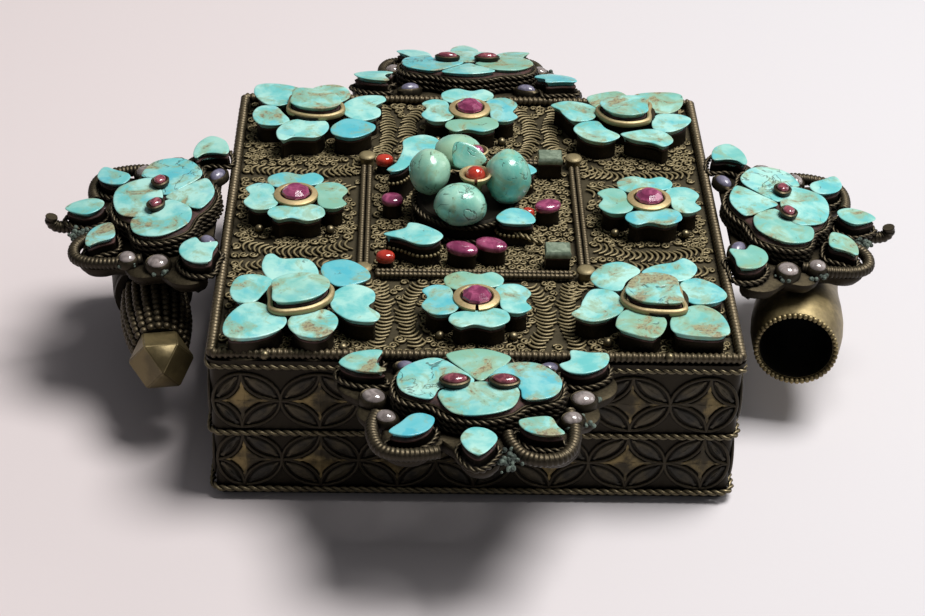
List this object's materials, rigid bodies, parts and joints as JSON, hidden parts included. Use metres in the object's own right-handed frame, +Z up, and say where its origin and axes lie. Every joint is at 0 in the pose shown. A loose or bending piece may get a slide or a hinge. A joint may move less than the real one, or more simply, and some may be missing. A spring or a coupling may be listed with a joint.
{
  "type": "ghau amulet box",
  "caption": "Square ghau amulet box: a tray with a slip-on cover set with turquoise rosettes and palmette wings, and suspension tubes, one stopped by a pull-out finial.",
  "frame": {"origin": "middle of the flat underside of the tray, on the floor", "axes": "+Z up through the deck, +X from the left tube to the right tube, -Y towards the wing and the tube mouths that face the viewer"},
  "size_m": [0.1544, 0.1488, 0.0431],
  "materials": {
    "oxidised_silver": "dark oxidised gilt silver with rubbed brassy high spots",
    "filigree": "dark twisted and coiled wire, rubbed gold on top",
    "gilt": "worn gilding",
    "brass": "smooth aged brass",
    "turquoise": "polished turquoise with brown matrix",
    "ruby": "polished dark pink stone",
    "coral": "polished red coral",
    "emerald": "cloudy pale green stone",
    "pearl": "lilac grey pearl",
    "crystal": "clear rock crystal"
  },
  "bodies": {
    "tray": {"tray_pan": "oxidised_silver", "tray_lip": "oxidised_silver", "tray_rim_rope": "filigree", "tray_foot_rope": "filigree"},
    "cover": {"back_wing_pan": "oxidised_silver", "back_wing_petals": "turquoise", "back_wing_settings": "oxidised_silver", "back_wing_turquoises": "turquoise", "centre_chip": "turquoise", "centre_corals": "coral", "centre_cups": "gilt", "centre_domes": "turquoise", "centre_drum": "oxidised_silver", "centre_emeralds": "emerald", "centre_frame_rods": "filigree", "centre_frame_studs": "oxidised_silver", "centre_jewel_collets": "oxidised_silver", "centre_leaf_collets": "oxidised_silver", "centre_leaf_stones": "turquoise", "centre_rubies": "ruby", "corner_bezels": "gilt", "corner_petals": "turquoise", "corner_settings": "oxidised_silver", "corner_stones": "turquoise", "cover_eave_rope": "filigree", "cover_fascia": "oxidised_silver", "cover_shell": "oxidised_silver", "cup_coral": "coral", "filigree_panel": "filigree", "front_wing_pan": "oxidised_silver", "front_wing_petals": "turquoise", "front_wing_settings": "oxidised_silver", "front_wing_turquoises": "turquoise", "left_tube": "brass", "left_tube_ring": "oxidised_silver", "left_tube_saddles": "oxidised_silver", "left_wing_pan": "oxidised_silver", "left_wing_petals": "turquoise", "left_wing_settings": "oxidised_silver", "left_wing_turquoises": "turquoise", "right_tube": "brass", "right_tube_rings": "oxidised_silver", "right_tube_saddles": "oxidised_silver", "right_wing_pan": "oxidised_silver", "right_wing_petals": "turquoise", "right_wing_settings": "oxidised_silver", "right_wing_turquoises": "turquoise", "rim_rods": "filigree", "side_petals": "turquoise", "side_rings": "gilt", "side_rubies": "ruby", "side_settings": "oxidised_silver", "wing_crystals": "crystal", "wing_pearls": "pearl", "wing_rubies": "ruby", "wing_ruby_cups": "oxidised_silver"},
    "finial": {"finial_shank": "brass", "finial_bud": "brass", "finial_knob": "brass"}
  },
  "joints": [
    {"name": "cover_lift", "type": "slide", "parent": "tray", "child": "cover", "axis": [0, 0, 1], "range_m": [0, 0.03]},
    {"name": "finial_pull", "type": "slide", "parent": "cover", "child": "finial", "axis": [0.1616, -0.9869, 0], "range_m": [0, 0.014]}
  ]
}
